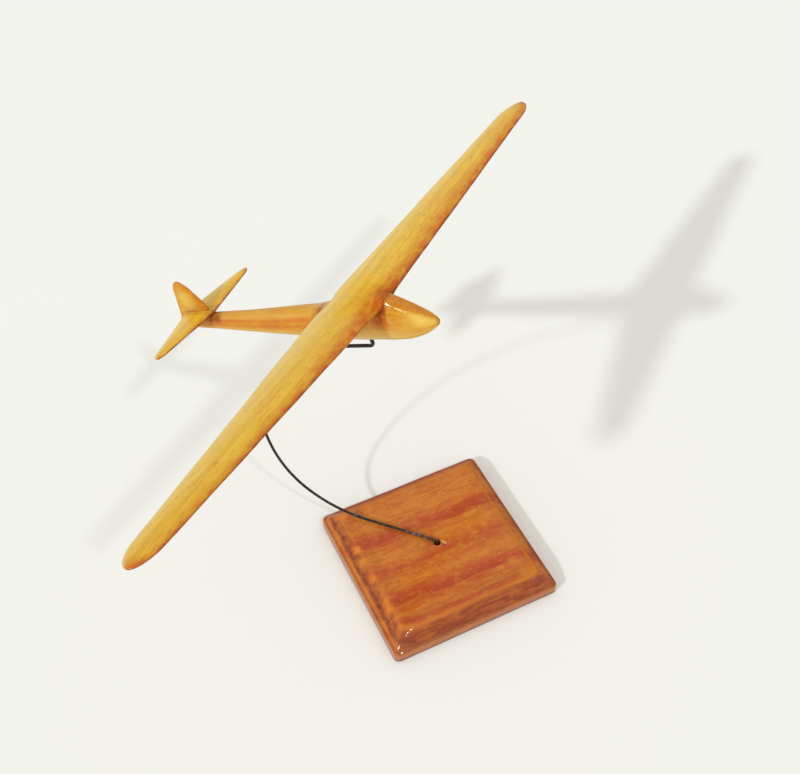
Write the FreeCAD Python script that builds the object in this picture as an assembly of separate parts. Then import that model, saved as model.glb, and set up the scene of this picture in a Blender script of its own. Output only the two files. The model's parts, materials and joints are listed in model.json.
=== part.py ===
import FreeCAD, Part
import math
import os

from FreeCAD import Placement, Rotation, Vector

# A hand-carved wooden model glider on a bent steel wire that stands in a square wooden plinth.
# Millimetres and degrees. The origin is the centre of the plinth's underside, +Z is up, and the
# glider heads along +X with its span along Y. The glider's own parts are drawn in its own axes,
# with x forward, y to port, z up and the origin on the fuselage's centre line above the pin.

# Plinth
BASE_SIDE = 100.0
BASE_THICKNESS = 15.0
BASE_CORNER_RADIUS = 3.5
BASE_TOP_CORNER_RADIUS = 2.0
BASE_DIAGONAL_TURN = 7.7

# The plinth's edge from the underside up: height, and inset from the plinth's side
BASE_MOULDING = [(0.0, 0.0), (6.1, 0.0), (7.0, 0.7), (13.2, 7.6), (14.4, 9.6), (15.0, 13.0)]

# Wire: one piece, 1.6 mm across, bent in an upright plane through the plinth's centre
WIRE_RADIUS = 0.8
WIRE_TURN = 6.7
WIRE_HOLE_BOTTOM = 3.5
WIRE_HOLE_MOUTH_RADIUS = 1.5
WIRE_HOLE_MOUTH_DEPTH = 1.2
WIRE_END_GAP = 0.5
WIRE_SMALL_BEND = 2.0
WIRE_FOOT_HEIGHT = 16.4
WIRE_FOOT_RISE = 0.5
WIRE_FOOT_RUN = 42.0
WIRE_LOWER_BEND = (56.0, 62.0)
WIRE_UPPER_BEND = (79.5, 96.5)
WIRE_TOP_RUN = 16.2

# Glider on its pin
GLIDER_PITCH = 24.3
GLIDER_BANK = -3.3
PIN_DROP = 14.7
PIN_HOLE_RADIUS = 0.85
PIN_DEPTH_IN_BELLY = 8.0

# Fuselage stations from tail to nose: place, half width, top and bottom
FUSELAGE_STATIONS = [
    (-120.0, 2.1, 3.5, -3.3),
    (-110.0, 2.8, 3.8, -3.8),
    (-94.0, 3.5, 4.3, -4.4),
    (-74.0, 4.3, 5.0, -5.5),
    (-54.0, 5.1, 6.1, -6.6),
    (-36.0, 5.8, 7.5, -7.6),
    (-22.0, 6.4, 8.8, -8.4),
    (-10.0, 6.8, 10.6, -9.0),
    (4.0, 7.0, 12.2, -9.3),
    (15.0, 6.9, 13.6, -9.3),
    (20.0, 6.8, 12.8, -9.2),
    (24.0, 6.5, 11.3, -9.0),
    (30.5, 5.7, 8.2, -7.7),
    (36.0, 4.4, 4.9, -5.8),
    (39.6, 2.9, 2.4, -3.9),
    (41.5, 1.6, 0.8, -2.4),
    (42.3, 0.6, 0.0, -1.3),
]
FUSELAGE_SQUARENESS = 2.6
STERN_FOOT = -117.8
STERN_RAKE = 14.5
FUSELAGE_BELLY = -9.3

# Wing: one plank, straight leading edge, tapered trailing edge, slight dihedral
WING_HALF_SPAN = 173.0
WING_LEADING_EDGE = 17.0
WING_ROOT_CHORD = 34.8
WING_TIP_CHORD = 14.8
WING_ROOT_THICKNESS = 4.4
WING_TIP_THICKNESS = 2.3
WING_HEIGHT = 9.3
WING_DIHEDRAL = 3.0
WING_TIP_ROUND = 14.0
WING_CAMBER = 0.03
WING_STATIONS = [0.0, 12.0, 159.0, 163.0, 166.5, 169.2, 171.2, 172.4, 172.9]
SADDLE_LIP = 9.0

# Tailplane
TAIL_HALF_SPAN = 39.6
TAIL_ROOT_EDGES = (-91.6, -111.9)
TAIL_TIP_EDGES = (-97.5, -102.6)
TAIL_THICKNESS = (2.6, 1.3)
TAIL_HEIGHT = 5.2
TAIL_TIP_ROUND = 5.0
TAIL_STATIONS = [0.0, 8.0, 34.6, 36.2, 37.6, 38.7, 39.4]

# Fin with its rudder, carved in one
FIN_TOP = 24.0
FIN_FOOT = 2.0
FIN_LEADING_FOOT = -89.2
FIN_LEADING_SWEEP = 31.8
FIN_THICKNESS = (2.2, 1.2)
FIN_TIP_ROUND = 5.0
FIN_STATIONS = [2.0, 19.0, 20.6, 22.0, 23.1, 23.8]

OUTLINE_POINTS = 16


def across_stand(angle):
    """The direction at that angle above fore-and-aft, in the wire's upright plane."""
    turn = math.radians(WIRE_TURN)
    tilt = math.radians(angle)
    flat = math.cos(tilt)
    return Vector(flat * math.cos(turn), flat * math.sin(turn), math.sin(tilt))


def closed_curve(points):
    curve = Part.BSplineCurve()
    curve.interpolate(Points=points, PeriodicFlag=True)
    return Part.Wire([curve.toShape()])


def turn_angles():
    return [2 * math.pi * (i + 0.5) / OUTLINE_POINTS for i in range(OUTLINE_POINTS)]


def rounded_square(side, radius, height):
    """A square outline with round corners, centred on the Z axis."""
    half = side / 2
    inner = half - radius
    edges = []
    for quarter in range(4):
        spin = Rotation(Vector(0, 0, 1), 90 * quarter)
        place = Placement(Vector(0, 0, height), spin)
        start = place.multVec(Vector(half, -inner, 0))
        end = place.multVec(Vector(half, inner, 0))
        diagonal = inner + radius * math.sqrt(0.5)
        middle = place.multVec(Vector(diagonal, diagonal, 0))
        after = place.multVec(Vector(inner, half, 0))
        edges.append(Part.LineSegment(start, end).toShape())
        edges.append(Part.Arc(end, middle, after).toShape())
    return Part.Wire(edges)


def base_block():
    """The plinth: an upright band, a broad bevel, a rounded shoulder and a top with a drilled hole."""
    outlines = []
    for height, inset in BASE_MOULDING:
        share = height / BASE_THICKNESS
        radius = BASE_CORNER_RADIUS + (BASE_TOP_CORNER_RADIUS - BASE_CORNER_RADIUS) * share
        outlines.append(rounded_square(BASE_SIDE - 2 * inset, radius, height))
    block = Part.makeLoft(outlines, True, True)
    hole = Part.makeCylinder(WIRE_RADIUS, BASE_THICKNESS, Vector(0, 0, WIRE_HOLE_BOTTOM))
    mouth_foot = Vector(0, 0, BASE_THICKNESS - WIRE_HOLE_MOUTH_DEPTH)
    mouth = Part.makeCone(WIRE_RADIUS, WIRE_HOLE_MOUTH_RADIUS, WIRE_HOLE_MOUTH_DEPTH, mouth_foot)
    block = block.cut(hole).cut(mouth)
    block.rotate(Vector(0, 0, 0), Vector(0, 0, 1), BASE_DIAGONAL_TURN - 45.0)
    return block


class WirePath:
    """Straight runs and tangent bends, one after the other."""

    def __init__(self, start, direction):
        self.point = start
        self.direction = direction
        self.edges = []

    def run(self, length):
        end = self.point + self.direction * length
        self.edges.append(Part.LineSegment(self.point, end).toShape())
        self.point = end

    def bend(self, direction, radius):
        angle = self.direction.getAngle(direction)
        inward = (direction - self.direction * math.cos(angle)) / math.sin(angle)
        centre = self.point + inward * radius

        def on_arc(turned):
            return centre + (self.direction * math.sin(turned) - inward * math.cos(turned)) * radius

        middle = on_arc(angle / 2)
        end = on_arc(angle)
        self.edges.append(Part.Arc(self.point, middle, end).toShape())
        self.point = end
        self.direction = direction


def bend_setback(first, second):
    """How far a small bend starts before the corner that it rounds."""
    return WIRE_SMALL_BEND * math.tan(first.getAngle(second) / 2)


def wire_and_pin():
    """The wire's solid, the corner below the pin, and the pin's direction."""
    up = Vector(0, 0, 1)
    foot_direction = across_stand(180.0 - WIRE_FOOT_RISE)
    lower_radius, lower_angle = WIRE_LOWER_BEND
    upper_radius, upper_angle = WIRE_UPPER_BEND
    crest_angle = 180.0 - WIRE_FOOT_RISE - lower_angle
    crest_direction = across_stand(crest_angle)
    top_direction = across_stand(crest_angle - upper_angle)
    pin_direction = Rotation(0.0, -GLIDER_PITCH, GLIDER_BANK).multVec(up)

    foot = Vector(0, 0, WIRE_HOLE_BOTTOM + WIRE_END_GAP)
    path = WirePath(foot, up)
    foot_setback = bend_setback(up, foot_direction)
    path.run(WIRE_FOOT_HEIGHT - foot_setback - foot.z)
    path.bend(foot_direction, WIRE_SMALL_BEND)
    path.run(WIRE_FOOT_RUN - foot_setback)
    path.bend(crest_direction, lower_radius)
    path.bend(top_direction, upper_radius)
    top_setback = bend_setback(top_direction, pin_direction)
    path.run(WIRE_TOP_RUN - top_setback)
    corner = path.point + top_direction * top_setback
    path.bend(pin_direction, WIRE_SMALL_BEND)
    path.run(PIN_DROP + FUSELAGE_BELLY + PIN_DEPTH_IN_BELLY - top_setback)

    section = Part.Wire([Part.Circle(foot, up, WIRE_RADIUS).toShape()])
    line = Part.Wire(path.edges)
    solid = line.makePipeShell([section], True, True)
    expected = math.pi * WIRE_RADIUS**2 * line.Length
    print(f"wire length {line.Length:.1f} mm, volume {solid.Volume:.1f} against {expected:.1f} mm3")
    return solid, corner, pin_direction


def fuselage_section(place, half_width, top, bottom):
    """A softly squared oval across the fuselage."""
    middle = (top + bottom) / 2
    half_height = (top - bottom) / 2
    power = 2 / FUSELAGE_SQUARENESS
    points = []
    for angle in turn_angles():
        side = math.copysign(abs(math.cos(angle)) ** power, math.cos(angle))
        rise = math.copysign(abs(math.sin(angle)) ** power, math.sin(angle))
        points.append(Vector(place, half_width * side, middle + half_height * rise))
    return closed_curve(points)


def fuselage(wing, tailplane):
    """The body, notched for the wing and tailplane and drilled for the pin."""
    body = Part.makeLoft([fuselage_section(*station) for station in FUSELAGE_STATIONS], True, True)
    stern = Part.makeBox(20.0, 20.0, 60.0, Vector(-20.0, -10.0, -30.0))
    stern.rotate(Vector(0, 0, 0), Vector(0, 1, 0), STERN_RAKE)
    stern.translate(Vector(STERN_FOOT, 0, 0))
    saddle_front = WING_LEADING_EDGE - SADDLE_LIP
    saddle_length = WING_ROOT_CHORD - SADDLE_LIP
    saddle_corner = Vector(saddle_front - saddle_length, -10.0, WING_HEIGHT)
    saddle = Part.makeBox(saddle_length, 20.0, 10.0, saddle_corner)
    hole = Part.makeCylinder(
        PIN_HOLE_RADIUS,
        PIN_DEPTH_IN_BELLY + WIRE_END_GAP + 5.0,
        Vector(0, 0, FUSELAGE_BELLY - 5.0),
    )
    return body.cut(stern).cut(saddle).cut(wing).cut(tailplane).cut(hole)


def blade_section(leading, chord, thickness, camber):
    """Points (along, across) of a blunt-nosed section with a thin round back edge."""
    points = []
    for angle in turn_angles():
        back = (1 - math.cos(angle)) / 2
        fullness = 1.22 - 0.62 * back
        arch = camber * chord * 4 * back * (1 - back)
        points.append((leading - chord * back, thickness / 2 * math.sin(angle) * fullness + arch))
    return points


def round_off(place, end, length):
    """From 1 down to 0 over the last stretch, as an ellipse's end."""
    into = max(0.0, (place - (end - length)) / length)
    return math.sqrt(max(0.0, 1 - into * into))


def both_sides(half):
    other = half.mirror(Vector(0, 0, 0), Vector(0, 1, 0))
    return half.fuse(other)


def wing():
    """Both panels in one piece, lofted from root to rounded tip."""
    sections = []
    for place in WING_STATIONS:
        share = place / WING_HALF_SPAN
        left = round_off(place, WING_HALF_SPAN, WING_TIP_ROUND)
        full_chord = WING_ROOT_CHORD + (WING_TIP_CHORD - WING_ROOT_CHORD) * share
        chord = full_chord * left
        leading = WING_LEADING_EDGE - (full_chord - chord) / 2
        thickness = WING_ROOT_THICKNESS + (WING_TIP_THICKNESS - WING_ROOT_THICKNESS) * share
        height = WING_HEIGHT + place * math.tan(math.radians(WING_DIHEDRAL))
        outline = blade_section(leading, chord, thickness * math.sqrt(left), WING_CAMBER)
        sections.append(closed_curve([Vector(x, place, height + z) for x, z in outline]))
    return both_sides(Part.makeLoft(sections, True, True))


def tailplane():
    """A small symmetrical blade with both edges tapered."""
    sections = []
    for place in TAIL_STATIONS:
        share = place / TAIL_HALF_SPAN
        left = round_off(place, TAIL_HALF_SPAN, TAIL_TIP_ROUND)
        front = TAIL_ROOT_EDGES[0] + (TAIL_TIP_EDGES[0] - TAIL_ROOT_EDGES[0]) * share
        back = TAIL_ROOT_EDGES[1] + (TAIL_TIP_EDGES[1] - TAIL_ROOT_EDGES[1]) * share
        chord = (front - back) * left
        leading = (front + back + chord) / 2
        thickness = TAIL_THICKNESS[0] + (TAIL_THICKNESS[1] - TAIL_THICKNESS[0]) * share
        outline = blade_section(leading, chord, thickness * math.sqrt(left), 0.0)
        sections.append(closed_curve([Vector(x, place, TAIL_HEIGHT + z) for x, z in outline]))
    return both_sides(Part.makeLoft(sections, True, True))


def fin(body, tail):
    """An upright blade with a raked back edge, standing on the tailplane and the stern."""
    sections = []
    for place in FIN_STATIONS:
        share = (place - FIN_FOOT) / (FIN_TOP - FIN_FOOT)
        left = round_off(place, FIN_TOP, FIN_TIP_ROUND)
        front = FIN_LEADING_FOOT - place * math.tan(math.radians(FIN_LEADING_SWEEP))
        back = STERN_FOOT + place * math.tan(math.radians(STERN_RAKE))
        chord = (front - back) * left
        leading = (front + back + chord) / 2
        thickness = FIN_THICKNESS[0] + (FIN_THICKNESS[1] - FIN_THICKNESS[0]) * share
        outline = blade_section(leading, chord, thickness * math.sqrt(left), 0.0)
        sections.append(closed_curve([Vector(x, y, place) for x, y in outline]))
    under_tail = Part.makeBox(40.0, 10.0, TAIL_HEIGHT, Vector(TAIL_ROOT_EDGES[1], -5.0, 0))
    return Part.makeLoft(sections, True, True).cut(under_tail).cut(tail).cut(body)


def save(name, shape):
    solids = shape.Solids
    if len(solids) != 1 or not shape.isValid():
        raise ValueError(f"{name} is not one valid solid: {len(solids)} solids")
    solids[0].exportStep(f"parts/{name}.step")
    box = shape.BoundBox
    print(f"{name}: {shape.Volume:.0f} mm3, {box.XLength:.1f} x {box.YLength:.1f} x {box.ZLength:.1f}")


os.makedirs("parts", exist_ok=True)

wire_solid, pin_corner, pin_up = wire_and_pin()
wing_solid = wing()
tailplane_solid = tailplane()
fuselage_solid = fuselage(wing_solid, tailplane_solid)
fin_solid = fin(fuselage_solid, tailplane_solid)

glider_origin = pin_corner + pin_up * PIN_DROP
glider_place = Placement(glider_origin, Rotation(0.0, -GLIDER_PITCH, GLIDER_BANK))
pin_entry = glider_place.multVec(Vector(0, 0, FUSELAGE_BELLY))
print(f"pin enters the belly at {tuple(round(v, 3) for v in pin_entry)} mm")
print(f"pin direction {tuple(round(v, 5) for v in pin_up)}")

save("base_block", base_block())
save("stand_wire", wire_solid)
glider_parts = {
    "fuselage": fuselage_solid,
    "wing": wing_solid,
    "tailplane": tailplane_solid,
    "fin": fin_solid,
}
for node, part in glider_parts.items():
    placed = part.copy()
    placed.transformShape(glider_place.toMatrix())
    save(node, placed)
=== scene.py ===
import json
import math
from types import SimpleNamespace

import bpy
import numpy as np
from mathutils import Matrix, Vector, noise


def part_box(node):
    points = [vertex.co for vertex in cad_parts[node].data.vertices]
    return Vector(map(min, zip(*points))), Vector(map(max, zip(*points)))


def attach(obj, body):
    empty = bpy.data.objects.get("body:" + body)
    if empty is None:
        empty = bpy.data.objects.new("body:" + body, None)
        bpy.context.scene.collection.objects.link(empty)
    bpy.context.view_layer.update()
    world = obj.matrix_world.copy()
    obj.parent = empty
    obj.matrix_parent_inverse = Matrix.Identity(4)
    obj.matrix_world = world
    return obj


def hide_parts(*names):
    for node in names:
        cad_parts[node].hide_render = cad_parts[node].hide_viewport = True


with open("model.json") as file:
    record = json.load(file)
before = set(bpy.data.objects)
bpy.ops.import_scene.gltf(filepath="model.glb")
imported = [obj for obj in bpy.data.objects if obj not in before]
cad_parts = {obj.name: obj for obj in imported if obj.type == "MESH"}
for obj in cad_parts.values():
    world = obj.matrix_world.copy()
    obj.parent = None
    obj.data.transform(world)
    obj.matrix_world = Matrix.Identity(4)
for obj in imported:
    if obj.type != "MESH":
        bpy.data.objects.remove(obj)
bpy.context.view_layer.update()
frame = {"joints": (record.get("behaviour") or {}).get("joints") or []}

# A hand-carved wooden model glider on a steel wire in a square lacquered plinth.
# Shapes are written in millimetres and scaled once, when a mesh is made.
MM = 0.001


# ---------------------------------------------------------------- places

# the glider sits nose up and banked on the wire's pin, its middle line this far above its belly
PITCH, BANK, BELLY = -24.3, -3.3, 9.3
PIN_PLACE = Vector(frame["joints"][0]["pos_m"])
GLIDER_TURN = Matrix.Rotation(math.radians(PITCH), 4, "Y") @ Matrix.Rotation(math.radians(BANK), 4, "X")
PIN_WAY = (GLIDER_TURN @ Vector((0, 0, 1, 0))).to_3d()
GLIDER_PLACE = Matrix.Translation(PIN_PLACE) @ GLIDER_TURN @ Matrix.Translation((0, 0, BELLY * MM))

# on the plinth, x is across the grain and y along it
BASE_TURN = -37.3
BASE_PLACE = Matrix.Rotation(math.radians(BASE_TURN), 4, "Z")
BASE_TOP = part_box("base_block")[1].z / MM


# ---------------------------------------------------------------- curves and noise

def curve_through(table, x, column):
    """A smooth line through a column of the table, without overshoot."""
    xs = np.array([row[0] for row in table], float)
    ys = np.array([row[column] for row in table], float)
    step = np.diff(xs)
    slope = np.diff(ys) / step
    same_way = slope[1:] * slope[:-1] > 0
    inner = np.where(same_way, 2 * slope[1:] * slope[:-1] / (slope[1:] + slope[:-1] + 1e-12), 0)
    tangent = np.concatenate([[slope[0]], inner, [slope[-1]]])
    i = np.clip(np.searchsorted(xs, x) - 1, 0, len(step) - 1)
    t = (x - xs[i]) / step[i]
    a = (1 + 2 * t) * (1 - t) ** 2 * ys[i] + t * (1 - t) ** 2 * step[i] * tangent[i]
    b = t * t * (3 - 2 * t) * ys[i + 1] + t * t * (t - 1) * step[i] * tangent[i + 1]
    return a + b


def smooth_step(low, high, x):
    """0 at low and 1 at high, with a soft start and end."""
    t = np.clip((x - low) / (high - low), 0, 1)
    return t * t * (3 - 2 * t)


def bell(x, centre, width, power=2):
    """1 at the centre, falling to about a third one width away."""
    return np.exp(-(((x - centre) / width) ** power))


def between(ends, share):
    return ends[0] + (ends[1] - ends[0]) * share


def wander(points, size, seed):
    """Slow noise from -1 to 1 at points in millimetres."""
    offset = Vector((seed * 17.3, seed * 5.1, seed * 9.7))
    flat = np.asarray(points, float).reshape(-1, 3)
    values = [noise.noise(Vector(p) / size + offset) for p in flat]
    return np.array(values).reshape(np.asarray(points).shape[:-1])


def waver(place, size, row):
    """Slow noise from -1 to 1 along a line, different for each row."""
    return noise.noise(Vector((place / size, *row)))


# ---------------------------------------------------------------- mesh tools

# A mark is a number from 0 to 1 at each point of a mesh, which the materials read: edge is dark stain
# and painted shade, pale is lighter wood and painted light, grime is dirt in the grooves and painted shade,
# matte is varnish without gloss, bevel is the plinth's slope and its mitres, foot is the wire's reddish
# end, rust with a painted reflection of the plinth, and lacquer is the drops on it.

def tube_faces(count, around):
    """Faces over rings of points, closed at each end on one of the two points that come after them."""
    faces = []
    for i in range(count - 1):
        for j in range(around):
            k = (j + 1) % around
            faces.append((i * around + j, i * around + k, (i + 1) * around + k, (i + 1) * around + j))
    first, last = count * around, count * around + 1
    top = (count - 1) * around
    for j in range(around):
        k = (j + 1) % around
        faces.append((first, k, j))
        faces.append((last, top + j, top + k))
    return faces


def outward(mesh):
    """Turns the faces so that the closed mesh's volume is positive."""
    volume = 0.0
    for polygon in mesh.polygons:
        a, b, c = (mesh.vertices[i].co for i in polygon.vertices[:3])
        volume += a.dot(b.cross(c))
        if len(polygon.vertices) == 4:
            d = mesh.vertices[polygon.vertices[3]].co
            volume += a.dot(c.cross(d))
    if volume < 0:
        mesh.flip_normals()


def skin(name, rings, marks, place, body, material, nodes):
    """A closed mesh over rings of points that rides on a body, with one set of marks for each ring."""
    count, around = rings.shape[:2]
    ends = [rings[0].mean(0), rings[-1].mean(0)]
    vertices = np.concatenate([rings.reshape(-1, 3), ends]) * MM
    mesh = bpy.data.meshes.new(name)
    mesh.from_pydata([tuple(place @ Vector(v)) for v in vertices], [], tube_faces(count, around))
    own = mesh.attributes.new("own_place", "FLOAT_VECTOR", "POINT")
    own.data.foreach_set("vector", vertices.reshape(-1).astype(np.float32))
    for mark in marks[0]:
        values = np.clip(np.array([ring_marks[mark] for ring_marks in marks]), 0, 1)
        flat = np.concatenate([values.reshape(-1), [values[0].mean(), values[-1].mean()]])
        mesh.attributes.new(mark, "FLOAT", "POINT").data.foreach_set("value", flat.astype(np.float32))
    mesh.validate()
    for polygon in mesh.polygons:
        polygon.use_smooth = True
    mesh.materials.append(material)
    piece = bpy.data.objects.new(name, mesh)
    bpy.context.scene.collection.objects.link(piece)
    outward(mesh)
    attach(piece, body)
    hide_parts(*nodes)
    return piece


# ---------------------------------------------------------------- shader tools

class Shader:
    """A node material written as nested calls."""

    def __init__(self, name):
        self.material = bpy.data.materials.new(name)
        self.material.use_nodes = True
        self.tree = self.material.node_tree
        self.tree.nodes.clear()
        self.output = self.tree.nodes.new("ShaderNodeOutputMaterial")

    def plug(self, socket, value):
        if isinstance(value, bpy.types.NodeSocket):
            self.tree.links.new(value, socket)
        else:
            socket.default_value = value

    def node(self, kind, settings=None, **inputs):
        made = self.tree.nodes.new(kind)
        for key, value in (settings or {}).items():
            setattr(made, key, value)
        for key, value in inputs.items():
            self.plug(made.inputs[key.replace("_", " ")], value)
        return made

    def place(self):
        return self.node("ShaderNodeTexCoord").outputs["Object"]

    def own_place(self):
        """The place on the piece before it was set on the stand, in metres."""
        return self.node("ShaderNodeAttribute", {"attribute_name": "own_place"}).outputs["Vector"]

    def mark(self, name):
        return self.node("ShaderNodeAttribute", {"attribute_name": name}).outputs["Fac"]

    def stretch(self, vector, scale, shift=(0, 0, 0), turn=(0, 0, 0)):
        made = self.node("ShaderNodeMapping", Vector=vector, Scale=scale, Location=shift, Rotation=turn)
        return made.outputs[0]

    def grain(self, vector, size_mm, detail=3.0, rough=0.55):
        made = self.node("ShaderNodeTexNoise", Vector=vector, Scale=1 / (size_mm * MM), Detail=detail,
                         Roughness=rough)
        return made.outputs[0]

    def maths(self, operation, a, b, clamp=False):
        made = self.node("ShaderNodeMath", {"operation": operation, "use_clamp": clamp})
        self.plug(made.inputs[0], a)
        self.plug(made.inputs[1], b)
        return made.outputs[0]

    def plus(self, a, b, clamp=False):
        return self.maths("ADD", a, b, clamp)

    def less(self, a, b):
        return self.maths("SUBTRACT", a, b)

    def times(self, a, b, clamp=False):
        return self.maths("MULTIPLY", a, b, clamp)

    def broken(self, mark, least, pattern, share):
        """A mark broken up by a pattern, never above 1."""
        return self.times(self.mark(mark), self.plus(least, self.times(pattern, share)), clamp=True)

    def shift(self, vector, offset):
        made = self.node("ShaderNodeVectorMath", {"operation": "ADD"})
        self.plug(made.inputs[0], vector)
        self.plug(made.inputs[1], offset)
        return made.outputs[0]

    def along(self, value, direction):
        made = self.node("ShaderNodeVectorMath", {"operation": "SCALE"})
        made.inputs[0].default_value = direction
        self.plug(made.inputs["Scale"], value)
        return made.outputs[0]

    def apart(self, vector):
        return self.node("ShaderNodeSeparateXYZ", Vector=vector).outputs

    def range(self, value, low, high, to_low=0.0, to_high=1.0):
        made = self.node("ShaderNodeMapRange", {"interpolation_type": "SMOOTHSTEP"})
        for socket, number in zip(made.inputs[:5], (value, low, high, to_low, to_high)):
            self.plug(socket, number)
        return made.outputs[0]

    def ramp(self, value, stops):
        made = self.node("ShaderNodeValToRGB", Fac=value)
        ramp = made.color_ramp
        while len(ramp.elements) < len(stops):
            ramp.elements.new(0.5)
        for element, (position, colour) in zip(ramp.elements, stops):
            element.position = position
            element.color = (*colour, 1)
        return made.outputs[0]

    def mix(self, amount, a, b):
        made = self.node("ShaderNodeMix", {"data_type": "RGBA"})
        for index, value in ((0, amount), (6, a), (7, b)):
            if isinstance(value, tuple):
                value = (*value, 1)
            self.plug(made.inputs[index], value)
        return made.outputs[2]

    def bump(self, height, strength, distance_mm):
        made = self.node("ShaderNodeBump", Strength=strength, Distance=distance_mm * MM, Height=height)
        return made.outputs[0]

    def near(self, vector, point_mm, radius_mm, soft_mm):
        """1 inside a ball, falling to 0."""
        made = self.node("ShaderNodeVectorMath", {"operation": "DISTANCE"})
        self.plug(made.inputs[0], vector)
        made.inputs[1].default_value = [v * MM for v in point_mm]
        return self.range(made.outputs["Value"], radius_mm * MM, (radius_mm + soft_mm) * MM, 1.0, 0.0)

    def finish(self, **inputs):
        shader = self.node("ShaderNodeBsdfPrincipled", **inputs)
        self.tree.links.new(shader.outputs[0], self.output.inputs[0])
        return self.material


# ---------------------------------------------------------------- the glider's wood

GOLD = [(0.57, 0.23, 0.010), (0.73, 0.41, 0.020), (0.83, 0.57, 0.045)]
AMBER = [(0.43, 0.117, 0.003), (0.59, 0.245, 0.007), (0.69, 0.385, 0.020)]
# the marks' colours: stain that also paints shade, pale wood that also paints light, and dirt that also
# paints shade
EDGE_STAIN_AND_SHADE, PALE_WOOD_AND_LIGHT, GROOVE_DIRT_AND_SHADE = (0.55, 0.125, 0.006), (0.80, 0.60, 0.13), (0.26, 0.045, 0.008)
ALONG_BODY, ALONG_SPAN = 0, 1
LACQUER_IOR = 1.5


def carved_wood(name, grain_axis, tones, darkening, seed, blotch, **finish):
    """Varnished wood: long fibres, slow bands, short dark pores, and by the marks stain, dirt, painted
    shade and painted light.
    """
    s = Shader(name)
    place = s.shift(s.own_place(), (seed * 0.13, seed * 0.07, seed * 0.19))

    def by_axis(with_grain, first_across, second_across):
        values = {0: with_grain, 1: first_across, 2: second_across}
        return tuple(values[(axis - grain_axis) % 3] for axis in range(3))

    sway = s.grain(place, 45, detail=1.0)
    swayed = s.shift(place, s.along(sway, by_axis(0.0, 0.002, 0.003)))
    fibres_place = s.stretch(swayed, by_axis(0.035, 1.0, 1.0))
    pores_place = s.stretch(swayed, by_axis(0.14, 1.0, 1.0))
    mottle_place = s.stretch(place, by_axis(0.45, 1.0, 1.0))
    fibre = s.grain(fibres_place, 0.9, detail=4.0, rough=0.62)
    band = s.grain(fibres_place, 4.5, detail=2.0)
    patch = s.grain(place, 14, detail=3.0, rough=0.6)
    pores = s.range(s.grain(pores_place, 0.55, detail=2.0), 0.6, 0.7)
    mottle = s.range(s.grain(mottle_place, 3.2, detail=3.0, rough=0.65), 0.36, 0.62)
    tone = s.plus(s.times(fibre, 0.42), s.times(band, 0.58 - blotch))
    tone = s.plus(tone, s.times(patch, blotch))
    colour = s.ramp(tone, [(0.3, tones[0]), (0.47, tones[1]), (0.66, tones[2])])
    colour = s.mix(s.times(pores, darkening), colour, tuple(v * 0.42 for v in tones[0]))
    colour = s.mix(s.broken("edge", 0.6, mottle, 0.48), colour, EDGE_STAIN_AND_SHADE)
    colour = s.mix(s.broken("pale", 0.45, band, 0.8), colour, PALE_WOOD_AND_LIGHT)
    colour = s.mix(s.broken("grime_and_shade", 0.6, mottle, 0.5), colour, GROOVE_DIRT_AND_SHADE)
    return varnish(s, place, colour, fibre, pores, patch, **finish)


def varnish(s, place, colour, fibre, pores, patch, rough=(0.3, 0.5), coat=0.4, coat_rough=0.14):
    """The wood's skin: pores sunk in the wood, and a slightly uneven clear coat over it."""
    matte = s.mark("matte")
    roughness = s.plus(s.range(patch, 0.3, 0.7, *rough), s.times(matte, 0.4), clamp=True)
    normal = s.bump(s.less(s.times(fibre, 0.5), pores), 0.25, 0.06)
    ripple = s.grain(place, 5.0, detail=2.0)
    dust = s.grain(place, 0.8, detail=1.0)
    coat_normal = s.bump(s.plus(ripple, s.times(dust, 0.06)), 0.3, 0.35)
    weight = s.times(coat, s.less(1.0, matte))
    return s.finish(Base_Color=colour, Roughness=roughness, Normal=normal, Coat_Weight=weight,
                    Coat_Roughness=coat_rough, Coat_IOR=LACQUER_IOR, Coat_Normal=coat_normal,
                    Specular_IOR_Level=0.12)


# ---------------------------------------------------------------- the glider's blades

def blade_outline(around, leading, chord, thickness, camber):
    """A blunt-nosed section with a thin round back edge: its points' places along and across it,
    their share of the chord from the front, and 1 to -1 for its upper to its lower side."""
    angle = 2 * np.pi * (np.arange(around) + 0.5) / around
    back = (1 - np.cos(angle)) / 2
    rise = np.sin(angle)
    fullness = 1.22 - 0.62 * back
    arch = camber * chord * 4 * back * (1 - back)
    return leading - chord * back, thickness / 2 * rise * fullness + arch, back, rise


def tip_places(half, tip, inner_steps, tip_steps):
    """Places from root to tip, crowded towards the round end."""
    turn = np.linspace(0, math.radians(86), tip_steps + 1)[1:]
    return np.concatenate([np.array(inner_steps, float), half - tip + tip * np.sin(turn)])


def both_ways(places):
    return np.concatenate([-places[:0:-1], places])


def round_off(place, half, tip):
    """The share of the full chord that a round tip leaves."""
    into = np.clip((place - (half - tip)) / tip, 0, 1)
    return np.sqrt(1 - into * into)


def close_in(front, rear, left):
    """The leading edge and the chord where both edges close in on a round tip."""
    chord = (front - rear) * left
    return (front + rear + chord) / 2, chord


# the panels taper over their length and meet in a short curve, WING_KINK, with no sharp kink
WING_HALF, WING_TIP, WING_TAPER = 172.9, 14.0, 173.0
WING_FRONT, WING_CHORD, WING_THICKNESS = 17.0, (34.8, 14.8), (4.4, 2.3)
WING_HEIGHT, WING_DIHEDRAL, WING_KINK, WING_CAMBER = 9.3, 3.0, 3.0, 0.03
WING_STEPS = [*np.arange(0, 14, 1.0), *np.arange(14, 158, 4.0), 157.5]
# the near panel is a little shorter than the far one
NEAR_SHARE = 0.993
# how far out the wing's front is carved to the nose on each side, and how steeply that ends
NEAR_FLUSH, FAR_FLUSH = (5.6, 3.0), (7.0, 2.2)


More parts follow.
